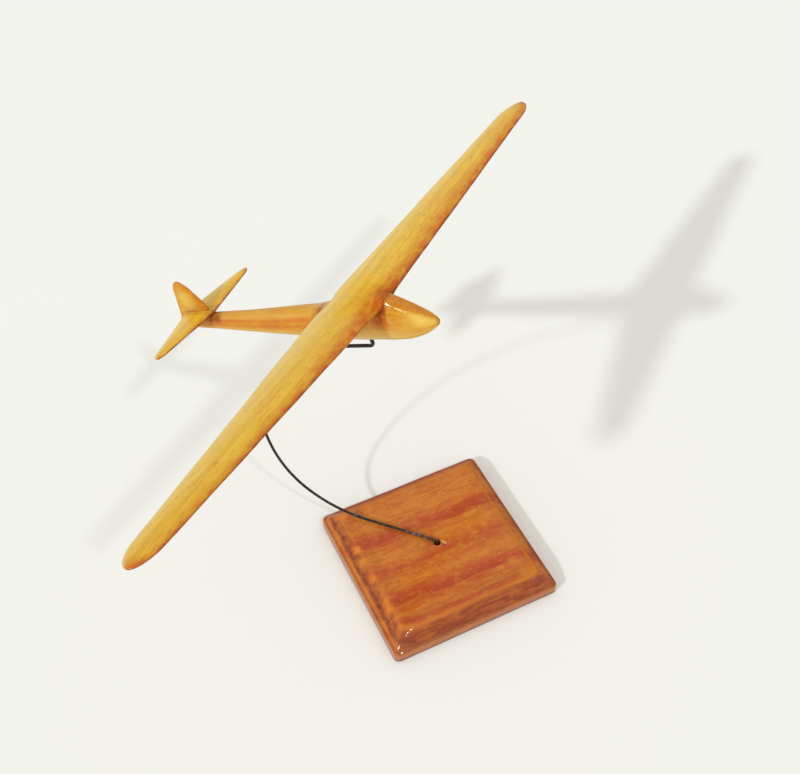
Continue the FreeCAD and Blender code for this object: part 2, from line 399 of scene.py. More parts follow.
def flush_with_nose(place, x, z, rise):
    """Lifts the upper side over the fuselage, where the front of the wing is carved flush with the nose."""
    reach, steepness = NEAR_FLUSH if place < 0 else FAR_FLUSH
    flush = smooth_step(-17.0, 0.0, x) / (1 + (abs(place) / reach) ** steepness)
    nose_line = 12.3 + 0.85 * smooth_step(4, 17, x) ** 1.3 - 0.04 * place * place
    return np.where(rise > 0.02, z + flush * np.clip(nose_line - z, 0, None), z)


def wing_marks(place, share, back, rise):
    far = abs(place)
    outer_near = smooth_step(-30, -75, place)
    front = bell(back, 0, 0.2 + 0.06 * share - 0.1 * outer_near) * (1 - 0.1 * outer_near)
    tip = bell(far / WING_HALF, 1, 0.03)
    # the front is darker by the root: varnish, and painted shade where the front curves down to the nose
    root_front_varnish_and_shade = bell(far, 0, 12) * bell(back, 0, 0.36)
    # paler towards the trailing edge, mostly on the upper side: a painted sheen
    trailing_sheen = smooth_step(0.45, 1.0, back) * np.where(rise > 0, 1, 0.3)
    body_joint = bell(far, 6.8, 1.2) * np.where(rise < 0, 1, 0.1)
    front_dirt = 0.9 if place > 0 else 0.4 + 0.4 * outer_near
    front_line = front_dirt * bell(back, 0, 0.022) * (1 - 0.6 * bell(far, 0, 9))
    rear_line = bell(back, 1, 0.012)
    root_smudge = bell(place, 4, 10) * bell(back, 0, 0.16)
    return {
        "edge": 0.95 * front + 0.75 * tip + 0.9 * root_front_varnish_and_shade,
        "pale": trailing_sheen * (0.75 - 0.25 * share),
        "grime_and_shade": 0.35 * body_joint + front_line + 0.45 * rear_line + 0.5 * root_smudge,
        "matte": 0.98 * bell(far, 0, 16, 4) * bell(back, 0, 0.7, 4),
    }


def wing_piece(material):
    rings, marks = [], []
    for place in both_ways(tip_places(WING_HALF, WING_TIP, WING_STEPS, 16)):
        far = abs(place)
        share = far / WING_TAPER
        left = round_off(far, WING_HALF, WING_TIP)
        leading, chord = close_in(WING_FRONT, WING_FRONT - between(WING_CHORD, share), left)
        # both edges are cut by hand, and the front bulges where it meets the nose
        leading += 0.22 * waver(place, 21, (3.1, 0)) * left - 0.1 + 2.3 * bell(far, 0, 6.5)
        chord -= 0.25 * waver(place, 17, (8.4, 0)) * left
        thick = between(WING_THICKNESS, share) * math.sqrt(left)
        x, z, back, rise = blade_outline(64, leading, chord, thick, WING_CAMBER)
        panel_rise = (math.hypot(far, WING_KINK) - WING_KINK) * math.tan(math.radians(WING_DIHEDRAL))
        z = flush_with_nose(place, x, z + WING_HEIGHT + panel_rise, rise)
        y = np.full_like(x, place * (NEAR_SHARE if place < 0 else 1.0))
        rings.append(np.stack([x, y, z], 1))
        marks.append(wing_marks(place, share, back, rise))
    rings = np.array(rings)
    rings[:, :, 2] += wander(rings, 26, 1) * 0.11 + wander(rings, 9, 2) * 0.03
    return skin("carved_wing", rings, marks, GLIDER_PLACE, "glider", material, ["wing"])


TAIL_HALF, TAIL_TIP, TAIL_TAPER, TAIL_HEIGHT = 39.45, 5.0, 39.6, 5.2
TAIL_FRONT, TAIL_REAR, TAIL_THICKNESS = (-91.6, -97.5), (-111.9, -102.6), (2.6, 1.3)
TAIL_STEPS = [*np.arange(0, 34, 1.6), 34.2]


def tailplane_marks(far, share, back, rise):
    front_line = bell(back, 0, 0.03)
    boom_joint = bell(far, 3.2, 1.0) * np.where(rise > 0, 0.6, 1)
    fin_joint = bell(far, 0, 1.8)
    return {
        "edge": 0.6 * bell(back, 0, 0.16) + 0.7 * bell(share, 1, 0.09),
        "pale": 0.7 * smooth_step(0.35, 0.95, back) * np.where(rise > 0, 1, 0.4),
        "grime_and_shade": 0.95 * front_line + 0.45 * boom_joint + 0.5 * fin_joint,
    }


def tailplane_piece(material):
    rings, marks = [], []
    for place in both_ways(tip_places(TAIL_HALF, TAIL_TIP, TAIL_STEPS, 10)):
        far = abs(place)
        share = far / TAIL_TAPER
        left = round_off(far, TAIL_HALF, TAIL_TIP)
        leading, chord = close_in(between(TAIL_FRONT, share), between(TAIL_REAR, share), left)
        leading += 0.12 * waver(place, 9, (1.7, 2))
        thick = between(TAIL_THICKNESS, share) * math.sqrt(left)
        x, z, back, rise = blade_outline(40, leading, chord, thick, 0.0)
        rings.append(np.stack([x, np.full_like(x, place), z + TAIL_HEIGHT], 1))
        marks.append(tailplane_marks(far, share, back, rise))
    rings = np.array(rings)
    rings[:, :, 2] += wander(rings, 12, 3) * 0.07
    return skin("carved_tailplane", rings, marks, GLIDER_PLACE, "glider", material,
                ["tailplane"])


# the fin's foot is sunk in the boom, and it comes out of the tailplane at its seat
FIN_FOOT, FIN_SEAT, FIN_TOP, FIN_TIP = 2.4, 6.2, 23.95, 5.0
FIN_FRONT, FIN_SWEEP, FIN_REAR, STERN_SLANT = -89.2, 31.8, -117.8, 14.5
FIN_THICKNESS, FIN_TAPER_FROM, FIN_TAPER = (2.2, 1.2), 2.0, 22.0
FIN_STEPS = [*np.arange(FIN_FOOT, 9, 0.35), *np.arange(9, 18.8, 0.8)]


def fin_marks(height, root, back):
    # darker along the fin's seat on the tailplane
    seat_darkening = root * smooth_step(0.84, 0.7, back)
    return {
        "edge": 0.6 * bell(back, 0, 0.16) + 0.3 * bell(height, FIN_TOP, 3.5) + 0.06,
        "pale": 0.55 * bell(back, 0.6, 0.3) * smooth_step(26, 15, height),
        "grime_and_shade": 0.75 * seat_darkening + 0.5 * bell(back, 0, 0.03) + 0.35 * bell(height, FIN_TOP, 0.8),
        "matte": np.full_like(back, 0.6),
    }


def fin_piece(material):
    rings, marks = [], []
    for height in tip_places(FIN_TOP, FIN_TIP, FIN_STEPS, 10):
        share = (height - FIN_TAPER_FROM) / FIN_TAPER
        left = round_off(height, FIN_TOP, FIN_TIP)
        # the fin spreads a little towards its seat
        root = math.exp(-max(height - FIN_SEAT, 0) / 1.3)
        front = FIN_FRONT - height * math.tan(math.radians(FIN_SWEEP)) - 2.4 * root
        rear = FIN_REAR + height * math.tan(math.radians(STERN_SLANT))
        leading, chord = close_in(front, rear, left)
        leading += 0.1 * waver(height, 6, (9.2, 1))
        thick = between(FIN_THICKNESS, share) * math.sqrt(left) + 0.7 * root * root
        x, y, back, _ = blade_outline(40, leading, chord, thick, 0.0)
        rings.append(np.stack([x, y, np.full_like(x, height)], 1))
        marks.append(fin_marks(height, root, back))
    rings = np.array(rings)
    rings[:, :, 1] += wander(rings, 10, 4) * 0.06
    return skin("carved_fin", rings, marks, GLIDER_PLACE, "glider", material, ["fin"])


# ---------------------------------------------------------------- the fuselage

# place, half width, top, bottom, squareness above and below the middle
BODY_STATIONS = [
    (-117.6, 1.25, 3.0, -3.0, 2.3, 2.3),
    (-110.0, 2.7, 3.8, -3.8, 2.3, 2.3),
    (-94.0, 3.5, 4.3, -4.4, 2.3, 2.3),
    (-74.0, 4.3, 5.0, -5.5, 2.4, 2.4),
    (-54.0, 5.1, 6.1, -6.6, 2.5, 2.5),
    (-36.0, 5.8, 7.5, -7.6, 2.5, 2.5),
    (-25.0, 6.2, 8.3, -8.2, 2.5, 2.6),
    (-18.5, 6.5, 9.2, -8.6, 2.5, 2.6),
    (-10.0, 6.8, 10.8, -9.0, 2.4, 2.6),
    (4.0, 7.0, 11.2, -9.2, 2.2, 2.6),
    (13.0, 6.9, 11.6, -9.2, 1.9, 2.6),
    (18.2, 6.9, 12.4, -9.2, 1.7, 2.6),
    (19.2, 6.85, 13.2, -9.2, 1.65, 2.6),
    (21.0, 6.8, 12.17, -9.1, 1.6, 2.6),
    (24.5, 6.5, 10.2, -8.9, 1.6, 2.5),
    (28.6, 6.0, 8.1, -8.1, 1.65, 2.5),
    (32.0, 5.4, 6.5, -7.2, 1.7, 2.4),
    (36.0, 4.4, 4.5, -5.8, 1.8, 2.3),
    (39.0, 3.2, 2.8, -4.2, 1.9, 2.2),
    (41.5, 1.55, 0.8, -2.4, 2.0, 2.1),
    (42.15, 0.5, -0.1, -1.3, 2.0, 2.0),
]
STERN, NOSE_TIP = BODY_STATIONS[0][0], BODY_STATIONS[-1][0]
# where the stern's slant starts, where the tail boom starts, and where the nose's last rings crowd
SLANT_START, BOOM_START, NOSE_ROUND = -108.0, -20.0, 34.5

# place, half width of the shaved top, how far its edges lie below its middle
TOP_FACET = [
    (12.0, 2.9, 0.3), (18.0, 3.0, 0.32), (20.0, 3.1, 0.36), (24.5, 3.35, 0.45), (28.6, 3.25, 0.5),
    (32.0, 2.9, 0.55), (36.0, 2.25, 0.5), (39.0, 1.4, 0.35), (42.2, 0.3, 0.1),
]
CREASE_SOFTNESS = 0.2


def body_section(place, angle):
    """The fuselage's points at a place, and its top, bottom and shaved half width there."""
    half, top, bottom, above, below = (curve_through(BODY_STATIONS, place, c) for c in range(1, 6))
    facet_half, facet_drop = (curve_through(TOP_FACET, max(place, TOP_FACET[0][0]), c) for c in (1, 2))
    middle = (top + bottom) / 2
    power = np.where(np.sin(angle) > 0, 2 / above, 2 / below)
    y = half * np.sign(np.cos(angle)) * np.abs(np.cos(angle)) ** power
    rise = np.sign(np.sin(angle)) * np.abs(np.sin(angle)) ** power
    # above the middle the section reaches higher, and its top is shaved off to two long edges
    shaved = smooth_step(4.0, 14.0, place)
    crown = (1 - (facet_half / half) ** above) ** (1 / above) if facet_half < half else 1.0
    reach_up = (top - facet_drop - middle) / crown * shaved + (top - middle) * (1 - shaved)
    z = middle + np.where(rise > 0, reach_up, middle - bottom) * rise
    facet = top - facet_drop * np.clip(np.abs(y) / facet_half, 0, 1.4) ** 2
    over = (z - facet) * shaved
    z = z - (np.sqrt(over * over + CREASE_SOFTNESS ** 2) + over - CREASE_SOFTNESS) / 2
    # the wing-root fairing flares out under the trailing edge
    y = y * (1 + 0.24 * bell(place, -15.6, 4.2) * smooth_step(2.5, 9.0, z))
    slant = math.tan(math.radians(STERN_SLANT)) * smooth_step(SLANT_START, STERN, place)
    return np.stack([place + z * slant, y, z], 1), top, bottom, facet_half


def body_marks(place, points, top, bottom, facet_half):
    y, z = points[:, 1], points[:, 2]
    off_middle = np.abs(y)
    upper = z > (top + bottom) / 2
    up = (z - bottom) / (top - bottom)
    boom = smooth_step(BOOM_START, -30, place)
    nose_end = bell(place, 42.6, 1.6)
    on_facet = (off_middle < facet_half * 0.97) & upper
    top_stain = on_facet * smooth_step(14, 20, place)
    # painted shade: the wing's shadow on the fuselage's side ahead of the root, deep red-brown, with some
    # stain
    shade_under_wing_front = bell(place, 16.5, 6.0) * smooth_step(20.0, 19.0, place) * smooth_step(-4.0, 4.0, z)
    stripes = (bell(up, 0.76, 0.09) + 0.6 * bell(up, 0.5, 0.07)) * smooth_step(BOOM_START, -28, place)
    # painted light: paler along the bottom, lit from below by the floor, and a sheen along the boom's upper
    # edge
    painted_light = 0.6 * bell(up, 0.12, 0.2) + 0.4 * bell(up, 0.9, 0.12) * (place < -25)
    # a painted soft highlight beside the crease, on its stretch towards the nose
    crease_highlight = smooth_step(24, 34, place) * bell(off_middle, facet_half + 1.0, 1.3) * upper
    # painted shade: a dark line on the fairing where the wing's trailing edge overhangs it
    shade_under_trailing_edge = bell(place, -19.3, 1.7) * smooth_step(0.55, 0.9, up)
    front_joint = bell(place, 19.6, 0.8) * smooth_step(0.55, 0.85, up)
    # painted shadow of the tailplane on top of the boom, just ahead of the tailplane's front
    tailplane_shadow = bell(place, -91.0, 4.4, 4) * smooth_step(0.45, 0.75, up)
    keel = smooth_step(0.12, 0.0, up) * (place > 18)
    pin_hole = bell(place, 0, 1.6) * bell(y, 0, 1.6) * (z < 0)
    # more painted shade in the same place, darker higher up towards the wing
    root_shade = shade_under_wing_front * (0.6 * smooth_step(-1, 5, z) + 0.4 * smooth_step(4, 10, z))
    # the crease along the nose shines only beside the wing
    dull_crease = smooth_step(21.6, 23.2, place) * bell(off_middle, facet_half, 1.8) * upper
    # stain with the painted shade under the wing; joints with the painted shade under the trailing edge and
    # the tailplane's painted shadow
    stain_and_shade = 0.42 * top_stain + 0.7 * stripes + 0.28 * boom + 0.5 * nose_end + 0.95 * shade_under_wing_front
    joints = 0.8 * shade_under_trailing_edge + 0.45 * front_joint + 0.95 * tailplane_shadow
    return {
        "edge": stain_and_shade,
        "pale": painted_light + 0.7 * crease_highlight,
        "grime_and_shade": joints + 0.75 * nose_end ** 2 + 0.3 * keel + 0.9 * pin_hole + root_shade,
        "matte": 0.9 * shade_under_wing_front + 0.6 * boom + 0.95 * dull_crease,
    }


def fuselage_piece(material):
    around = 120
    angle = 2 * np.pi * np.arange(around) / around
    tail = np.linspace(STERN, BOOM_START, 56)
    cabin = np.linspace(-19, 34, 62)
    nose = NOSE_ROUND + (NOSE_TIP - NOSE_ROUND) * np.sin(np.linspace(0, math.pi / 2, 18))
    rings, marks = [], []
    for place in np.concatenate([tail, cabin, nose]):
        points, top, bottom, facet_half = body_section(place, angle)
        rings.append(points)
        marks.append(body_marks(place, points, top, bottom, facet_half))
    rings = np.array(rings)
    push = wander(rings, 18, 5) * 0.12 + wander(rings, 6, 6) * 0.035
    outwards = (rings - rings.mean(1, keepdims=True)) * np.array([0, 1, 1])
    outwards /= np.linalg.norm(outwards, axis=2, keepdims=True) + 1e-6
    rings += outwards * push[:, :, None]
    return skin("carved_fuselage", rings, marks, GLIDER_PLACE, "glider", material,
                ["fuselage"])


# ---------------------------------------------------------------- the plinth

PLINTH_HALF, TOP_HEIGHT, UNDERSIDE = 50.0, 15.0, 0.02
# height and inset of the moulding, from the underside to the top's flat
MOULDING = [
    (UNDERSIDE, 0.4), (0.3, 0.16), (0.8, 0.12), (3.0, 0.12), (5.2, 0.12), (6.0, 0.18), (6.4, 0.35),
    (6.75, 0.75), (7.0, 1.3), (7.5, 2.0), (8.3, 2.9), (9.2, 3.8), (10.2, 4.8), (11.2, 5.8), (12.2, 6.9),
    (13.0, 7.8), (13.6, 8.6), (14.05, 9.4), (14.4, 10.2), (14.66, 11.1), (14.84, 12.2), (14.93, 13.6),
    (14.97, 15.2),
]
# the corner's radius at some heights: a small facet is cut across the foot of each mitre
CORNER_RADII = [(0, 6.9, 9.7, 11.2, 14.5), (3.3, 3.3, 0.6, 1.6, 6.4)]
# half widths of the rings on the underside and on the top, where they crowd towards the hole
UNDER_RINGS = (2.0, 20.0, 40.0, 49.0)
TOP_RINGS = [*np.arange(33.0, 9.0, -1.5), 8.4, 7.4, 6.5, 5.7, 5.0, 4.5, 4.0, 3.6, 3.2, 2.9, 2.6, 2.35, 2.1]
# half width, height and darkening of the rings down the countersunk mouth and the hole, the dark being
# painted shade in the hole
HOLE_RADIUS = 0.83
HOLE_RINGS = [
    (2.0, 14.85, 0.45), (1.85, 14.5, 0.8), (1.65, 14.1, 0.9), (1.35, 13.5, 1.0), (1.0, 12.8, 1.0),
    (HOLE_RADIUS, 12.0, 1.0), (HOLE_RADIUS, 9.0, 1.0),
]
# place, width and depth of a small dark pit by the left bevel and of chipped fibres about the hole
DARK_PIT = (3.9, -45.4)
PITS = [
    (DARK_PIT, 1.0, 0.8), ((2.3, 3.6), 0.9, 0.32), ((2.9, 4.8), 0.8, 0.28), ((1.7, 2.4), 0.7, 0.2),
    ((-5.5, -6.6), 0.8, 0.14), ((-2.0, -1.2), 0.7, 0.22),
]
# the corner radius of a round ring, as a share of its half width
ROUND_SHARE = 0.999


def square_reach(angle, half, radius):
    """How far the rounded square's outline is from its centre in each direction."""
    direction = np.abs(np.stack([np.cos(angle), np.sin(angle)], 1))
    low, high = np.zeros(len(angle)), np.full(len(angle), half * 1.5)
    for _ in range(30):
        middle = (low + high) / 2
        over = direction * middle[:, None] - (half - radius)
        outside = np.linalg.norm(np.clip(over, 0, None), axis=1) + np.minimum(over.max(1), 0) - radius
        low = np.where(outside < 0, middle, low)
        high = np.where(outside < 0, high, middle)
    return low


def square_angles(count, half, radius):
    """Directions evenly spaced along the outline's sides and crowded at its corners."""
    dense = np.linspace(0, 2 * np.pi, 4000, endpoint=False)
    outline = np.stack([np.cos(dense), np.sin(dense)], 1) * square_reach(dense, half, radius)[:, None]
    closed = np.concatenate([outline, outline[:1]])
    length = np.concatenate([[0], np.cumsum(np.linalg.norm(np.diff(closed, axis=0), axis=1))])
    off_corner = np.abs(np.mod(dense + np.pi / 4, np.pi / 2) - np.pi / 4)
    in_corner = np.concatenate([[0], np.cumsum(off_corner > math.radians(41.5))])
    length = length + in_corner / in_corner[-1] * length[-1] * 0.45
    wanted = np.linspace(0, length[-1], count, endpoint=False)
    return np.interp(wanted, length, np.concatenate([dense, [2 * np.pi]]))


def plinth_sides(angle):
    """What differs from side to side, as a number from 0 to 1 in each direction."""
    unit = np.stack([np.cos(angle), np.sin(angle)], 1)
    near_left = smooth_step(-0.62, -0.78, unit[:, 1])
    near_right = smooth_step(0.66, 0.76, unit[:, 0])
    chipped = np.array([waver(turned, 1 / 7, (8.1, 0)) for turned in angle])
    return SimpleNamespace(
        unit=unit, near_left=near_left, near_right=near_right,
        far=1 - np.maximum(near_left, near_right),
        mitre=bell(np.abs(np.abs(unit[:, 0]) - np.abs(unit[:, 1])), 0, 0.14),
        wave=np.array([0.9 * waver(turned, 1 / 11, (2.7, 0)) for turned in angle]),
        chips=smooth_step(-0.1, 0.3, chipped),
    )


def moulding_marks(height, inset, sides):
    """Stain and painted shade, painted light and darkening: a narrow line of painted shade and a painted
    lit ledge on the near left side, a painted highlight along the top's edge, and a dark near right side.
    """
    unchipped = sides.near_left * (1 - sides.chips)
    bevel = smooth_step(6.9, 7.4, height) * smooth_step(14.4, 13.6, height)
    wide_stain = 0.9 * bevel + 0.35 * smooth_step(3.6, 2.4, height) + 0.3
    # painted shade of a cove on the near left side, over a little stain
    cove_shade_and_stain = bell(height + sides.wave, 9.6, 0.9) + 0.2
    far_stain = 0.5 * smooth_step(5.8, 6.6, height) * smooth_step(8.8, 8.0, height)
    stain_and_shade = cove_shade_and_stain * sides.near_left + 0.6 * bell(height, 12.0, 1.8) * unchipped
    stain_and_shade = stain_and_shade + wide_stain * sides.near_right + far_stain * sides.far
    # painted light: the near left ledge lit, and patches of highlight by the top's edge
    lit_ledge_and_edge = 0.6 * bell(height, 7.7, 0.7) + 0.7 * bell(height, 12.6, 1.2) * sides.chips
    # a painted highlight line along the top's edge, all round
    painted_light = bell(inset, 8.8, 1.1) * (1 - 0.8 * unchipped) + lit_ledge_and_edge * sides.near_left
    # darker along the moulding's arris and towards the bottom, and the cove's painted shade on the near
    # left side
    darkening = 0.45 * bell(height, 7.0, 0.35) + 0.75 * smooth_step(1.8, 0.2, height)
    return stain_and_shade, painted_light, darkening + 0.4 * bell(height + sides.wave, 9.7, 0.7) * sides.near_left


def plinth_levels(sides):
    """Half width, corner radius, height, stain and painted shade, painted light, and darkening of each
    ring.
    """
    levels = [(half, min(3.4, half * 0.9), UNDERSIDE, 0.6, 0.0, 0.1) for half in UNDER_RINGS]
    for height, inset in MOULDING:
        radius = np.interp(height, *CORNER_RADII)
        levels.append((PLINTH_HALF - inset, radius, height, *moulding_marks(height, inset, sides)))
    for half in TOP_RINGS:
        radius = min(half * ROUND_SHARE, 6.4 + (34 - half) * 0.12)
        levels.append((half, radius, TOP_HEIGHT, 0.0, 0.0, 0.0))
    for half, height, darkening in HOLE_RINGS:
        levels.append((half, half * ROUND_SHARE, height, 0.0, 0.0, darkening))
    return levels


def wear(rings):
    """Hand-sanded unevenness, always inwards from the square, then pits and a torn hole edge."""
    x, y, z = (rings[:, :, axis].copy() for axis in range(3))
    reach = np.hypot(x, y)
    raised = smooth_step(1.0, 6.0, z)
    uneven = wander(rings, 24, 7) * 0.5 + 0.5
    fine = wander(rings, 7, 8) * 0.5 + 0.5
    squeeze = 1 - (0.22 * uneven + 0.05 * fine) / np.maximum(reach, 8) * smooth_step(20, 46, reach)
    x, y = x * squeeze, y * squeeze
    z = z - (0.10 * uneven + 0.04 * fine) * raised
    for (pit_x, pit_y), size, depth in PITS:
        z = z - depth * bell(x, pit_x, size) * bell(y, pit_y, size) * raised
    worn = np.stack([x, y, z], 2)
    ragged = wander(worn * np.array([1, 1, 0.2]), 0.9, 9)
    worn[:, :, 2] -= 0.3 * (ragged + 0.6) * bell(reach, 2.0, 0.6) * raised
    worn[:, :, 2] = np.clip(worn[:, :, 2], UNDERSIDE, BASE_TOP - 0.02)
    return worn


def plinth_piece(material):
    around = 320
    angle = square_angles(around, PLINTH_HALF, 3.0)
    sides = plinth_sides(angle)
    all_round = np.ones(around)
    rings, marks = [], []
    for half, radius, height, stain_and_shade, painted_light, darkening in plinth_levels(sides):
        flat = sides.unit * square_reach(angle, half, radius)[:, None]
        rings.append(np.column_stack([flat, height * all_round]))
        sloping = smooth_step(6.2, 7.0, height) * smooth_step(14.8, 13.8, height)
        marks.append({
            "edge": stain_and_shade * all_round, "pale": painted_light * all_round, "grime_and_shade": darkening * all_round,
            "bevel": sloping * (0.5 + 0.5 * sides.mitre), "matte": 0.9 * sloping * sides.far,
        })
    rings = wear(np.array(rings))
    return skin("lacquered_plinth", rings, marks, BASE_PLACE, "stand", material,
                ["base_block"])


# ---------------------------------------------------------------- the plinth's wood

LIGHT, MID = (0.58, 0.185, 0.022), (0.52, 0.135, 0.020)
DARK, DEEP = (0.46, 0.070, 0.018), (0.40, 0.046, 0.016)
# the wood's bands, from the plinth's far left side to its near right one
BANDS = [
    (0.02, DARK), (0.07, MID), (0.16, LIGHT), (0.25, LIGHT), (0.31, DARK), (0.365, DEEP), (0.38, MID),
    (0.45, LIGHT), (0.52, MID), (0.56, DARK), (0.60, MID), (0.66, LIGHT), (0.70, MID), (0.735, DARK),
    (0.77, DEEP), (0.815, MID), (0.86, LIGHT), (0.90, DARK), (0.97, MID),
]
# where fibres broke out by the hole: place, length and tint of the bare wood and of its shade
BREAKS = [((1.5, 3.6), 1.9, (0.62, 0.36, 0.17)), ((3.1, 2.6), 1.2, (0.10, 0.03, 0.012))]
BREAK_WIDTH, BREAK_TURN, BREAK_HEIGHT = 0.42, -31, 14.8


def plinth_bands(s, place, swayed):
    """Broad bands across the plinth that bow a little along the grain."""
    across = s.apart(swayed)[0]
    lengthways = s.apart(place)[1]
    bow = s.times(s.maths("SINE", s.times(lengthways, 62.0), 0.0), 0.0016)
    tilt = s.times(lengthways, -0.06)
    level = s.plus(s.plus(across, bow), tilt)
    return s.ramp(s.plus(s.times(level, 10.0), 0.5), BANDS)


def plinth_figure(s, colour, swayed, fibre, wide, patch):
    """Slanting figure, fibres, slow streaks and thin reddish threads over the bands."""
    figure = s.grain(s.stretch(swayed, (1.0, 0.3, 1.0), turn=(0, 0, 0.35)), 5.0, detail=5.0, rough=0.7)
    colour = s.mix(s.range(figure, 0.5, 0.66, 0.0, 0.6), colour, DARK)
    colour = s.mix(s.range(figure, 0.46, 0.34, 0.0, 0.6), colour, (0.62, 0.24, 0.03))
    cross = s.grain(s.stretch(swayed, (1.0, 0.5, 1.0), turn=(0, 0, -0.5)), 2.2, detail=4.0, rough=0.7)
    colour = s.mix(s.range(cross, 0.52, 0.66, 0.0, 0.35), colour, DEEP)
    colour = s.mix(s.range(cross, 0.46, 0.34, 0.0, 0.35), colour, (0.64, 0.27, 0.05))
    colour = s.mix(s.range(fibre, 0.5, 0.72, 0.0, 0.6), colour, DARK)
    colour = s.mix(s.range(wide, 0.5, 0.7, 0.0, 0.4), colour, (0.62, 0.21, 0.02))
    threads_place = s.stretch(swayed, (1.0, 0.05, 1.0), shift=(0.4, 0.1, 0.2))
    threads = s.range(s.grain(threads_place, 1.7, detail=3.0, rough=0.6), 0.54, 0.7, 0.0, 0.5)
    colour = s.mix(threads, colour, (0.36, 0.06, 0.006))
    return s.mix(s.range(patch, 0.5, 0.72, 0.0, 0.4), colour, (0.64, 0.25, 0.02))


def plinth_stains(s, colour, place, wide, mottle):
    """Stain, dirt, painted shade and painted light by the marks, a painted reflection of the floor on the
    upright edge, the dark pit, the broken fibres, and a dark patch by the hole.
    """
    # stain and painted shade, then pale wood and painted highlights, by the marks
    colour = s.mix(s.broken("edge", 0.42, mottle, 0.66), colour, (0.24, 0.04, 0.010))
    colour = s.mix(s.broken("pale", 0.3, wide, 0.9), colour, (0.66, 0.2, 0.012))
    # the upright edge is greyer: a painted reflection of the floor
    floor_reflection = s.range(s.apart(place)[2], 6.9 * MM, 6.2 * MM, 0.0, 0.45)
    colour = s.mix(floor_reflection, colour, (0.42, 0.17, 0.07))
    # grime: dirt, painted shade in the hole and the cove, and darker towards the bottom
    colour = s.mix(s.mark("grime_and_shade"), colour, (0.06, 0.022, 0.010))
    # darkest inside the small pit
    colour = s.mix(s.near(place, (*DARK_PIT, 14.0), 0.7, 0.9), colour, (0.05, 0.012, 0.006))
    ragged = s.along(s.grain(place, 0.9), (0.0005, 0.0005, 0))
    for (x, y), length, tint in BREAKS:
        centred = s.shift(place, (-x * MM, -y * MM, -BREAK_HEIGHT * MM))
        turned = s.stretch(centred, (1.0, 1.0, 1.0), turn=(0, 0, math.radians(BREAK_TURN)))
        slim = s.shift(s.stretch(turned, (1 / length, 1 / BREAK_WIDTH, 0.3)), ragged)
        colour = s.mix(s.near(slim, (0.25, 0.25, 0), 0.75, 0.4), colour, tint)
    # a dark patch along the wire by the hole: dirt and the wire's painted contact shadow
    wire_shadow_and_dirt = s.times(s.near(place, (-3.2, -3.2, 14.9), 1.2, 3.2), 0.4)
    return s.mix(wire_shadow_and_dirt, colour, (0.16, 0.04, 0.015))


def plinth_wood():
    s = Shader("plinth_wood")
    place = s.own_place()
    sway = s.grain(s.stretch(place, (1.0, 0.45, 1.0)), 26, detail=1.5)
    swayed = s.shift(place, s.along(s.less(sway, 0.5), (0.016, 0, 0.006)))
    long_place = s.stretch(swayed, (1.0, 0.03, 1.0))
    fibre = s.grain(long_place, 0.8, detail=4.0, rough=0.65)
    wide = s.grain(long_place, 3.4, detail=2.0)
    patch = s.grain(place, 9, detail=4.0, rough=0.65)
    pores = s.range(s.grain(s.stretch(swayed, (1.0, 0.12, 1.0)), 0.5, detail=2.0), 0.61, 0.7)
    mottle_place = s.stretch(swayed, (1.0, 0.16, 1.0))
    mottle = s.range(s.grain(mottle_place, 2.6, detail=4.0, rough=0.65), 0.35, 0.65)
    colour = plinth_figure(s, plinth_bands(s, place, swayed), swayed, fibre, wide, patch)
    colour = s.mix(s.times(pores, 0.5), colour, (0.14, 0.03, 0.01))
    colour = plinth_stains(s, colour, place, wide, mottle)
    # the lacquer is thicker and has run on the bevels, most of all at the mitres
    matte = s.mark("matte")
    roughness = s.plus(s.range(patch, 0.3, 0.7, 0.26, 0.42), s.times(matte, 0.35))
    weight = s.plus(0.5, s.range(s.mark("bevel"), 0.6, 1.0, 0.0, 0.5))
    normal = s.bump(s.less(s.times(fibre, 0.5), pores), 0.3, 0.06)
    ripple = s.grain(place, 6.0, detail=2.5)
    dust = s.grain(place, 0.7, detail=1.0)
    runs = s.times(s.grain(place, 2.6, detail=1.0), s.times(s.mark("bevel"), 1.1))
    coat_normal = s.bump(s.plus(s.plus(ripple, runs), s.times(dust, 0.05)), 0.45, 0.6)
    return s.finish(Base_Color=colour, Roughness=roughness, Normal=normal,
                    Coat_Weight=s.times(weight, s.less(1.0, matte)), Coat_Roughness=0.08,
                    Coat_IOR=LACQUER_IOR, Coat_Normal=coat_normal, Specular_IOR_Level=0.1)


# ---------------------------------------------------------------- the wire

# the mesh stays just inside the wire's radius, and the wire's plane is turned from fore-and-aft
WIRE_RADIUS, WIRE_SLACK, WIRE_TURN, SMALL_BEND = 0.8, 0.01, math.radians(6.7), 2.0
# a straight end in the plinth's hole, then a foot that is nearly level
HOLE_BOTTOM, FOOT_HEIGHT, FOOT_RISE, FOOT_RUN = 4.0, 16.4, 0.5, 42.0
# radius and turn of the two parts of the long bend, then the straight run up to the pin's corner
LOWER_BEND, UPPER_BEND, TOP_RUN = (56.0, 62.0), (79.5, 96.5), 16.2
# the corner's depth under the glider's middle line, and how deep the pin goes into the belly
PIN_CORNER, PIN_DEPTH = 14.7, 8.0
PIN_LENGTH = PIN_CORNER - BELLY + PIN_DEPTH
RUN_STEP, BEND_STEP = 0.4, 0.9
# all of the foot and the start of the long bend are below this height
FOOT_TOP = 20.0

# lacquer that ran down the wire and set in drops: place along the wire from the hole, length, height
LACQUER_DROPS = [
    (6.3, 1.3, 0.12), (9.4, 2.0, 0.17), (11.9, 3.3, 0.27), (16.6, 2.2, 0.18), (47.4, 2.6, 0.36),
]


def across_stand(degrees):
    """The direction at that angle above fore-and-aft, in the wire's upright plane."""
    tilt = math.radians(degrees)
    flat = math.cos(tilt)
    return Vector((flat * math.cos(WIRE_TURN), flat * math.sin(WIRE_TURN), math.sin(tilt)))


